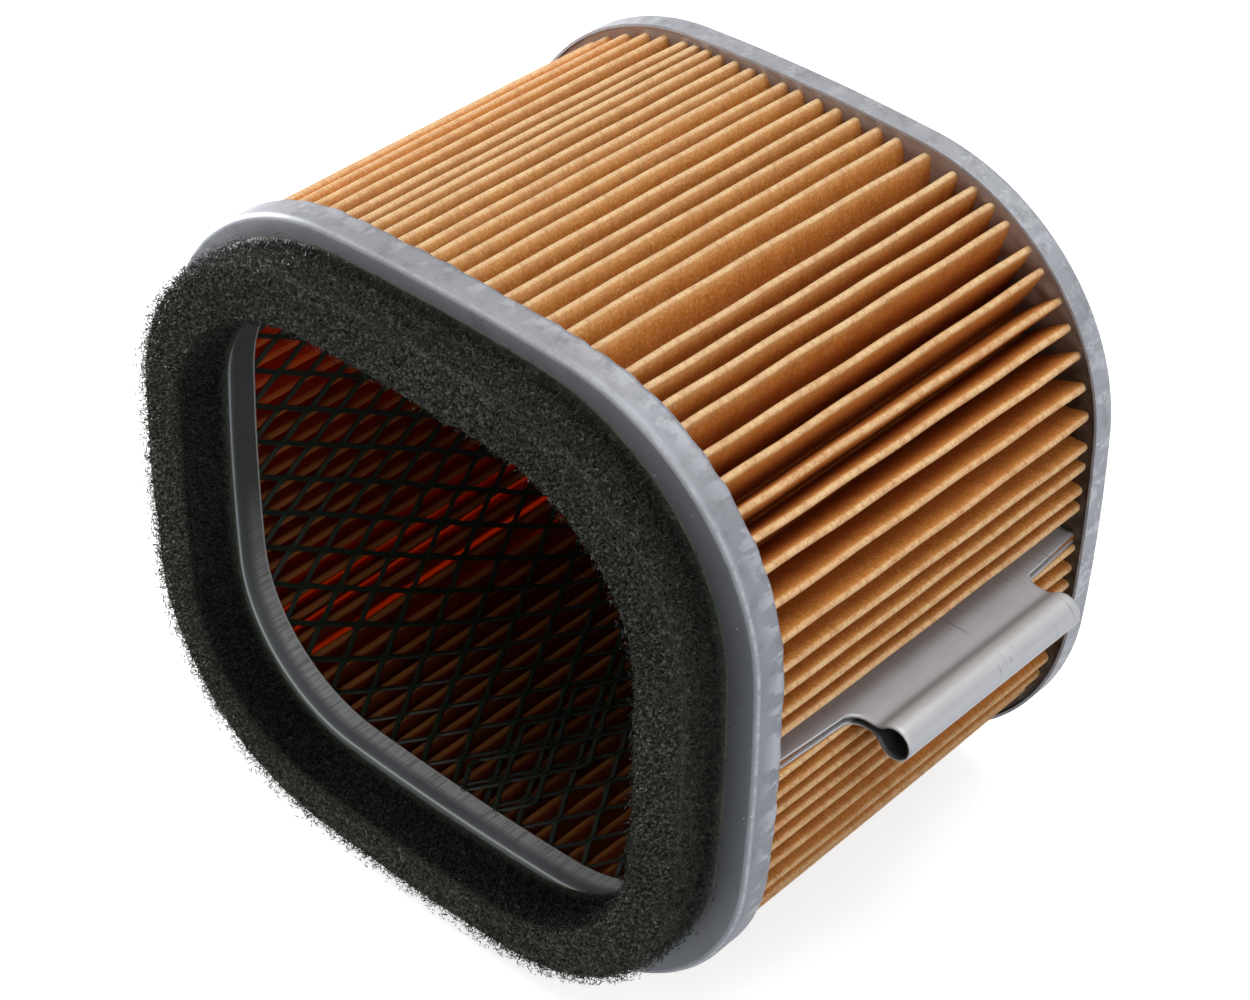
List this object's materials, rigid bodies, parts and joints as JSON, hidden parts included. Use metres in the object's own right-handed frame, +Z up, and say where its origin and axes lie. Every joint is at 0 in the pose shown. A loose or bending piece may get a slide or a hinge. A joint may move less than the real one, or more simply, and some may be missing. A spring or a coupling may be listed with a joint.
{
  "type": "motorcycle air filter element",
  "caption": "Pleated paper air filter: rounded-square ring in pressed steel caps, open front with a foam seal, closed rear, mesh-lined inside, and a folded seam clip with a grip loop.",
  "frame": {"origin": "centre of the rear end cap's outer face, in the plane of its rim", "axes": "+Y through the closed rear, so the open front faces -Y; +X towards the seam clip; +Z up, with the element lying on its lower side"},
  "size_m": [0.1423, 0.101, 0.123],
  "materials": {
    "cap_steel": "satin, zinc-plated",
    "clip_steel": "bright, lightly scratched",
    "screen_paint": "dark semi-gloss coating",
    "filter_paper": "matt fibrous paper",
    "potting": "dull, cured",
    "adhesive": "dull film",
    "foam": "open-cell foam, matt"
  },
  "bodies": {
    "root": {"front_end_cap": "cap_steel", "rear_end_cap": "cap_steel", "front_potting": "potting", "rear_potting": "potting", "pleated_paper": "filter_paper", "seam_clip": "clip_steel", "inner_screen": "screen_paint", "foam_adhesive": "adhesive", "foam_seal": "foam"}
  },
  "joints": []
}
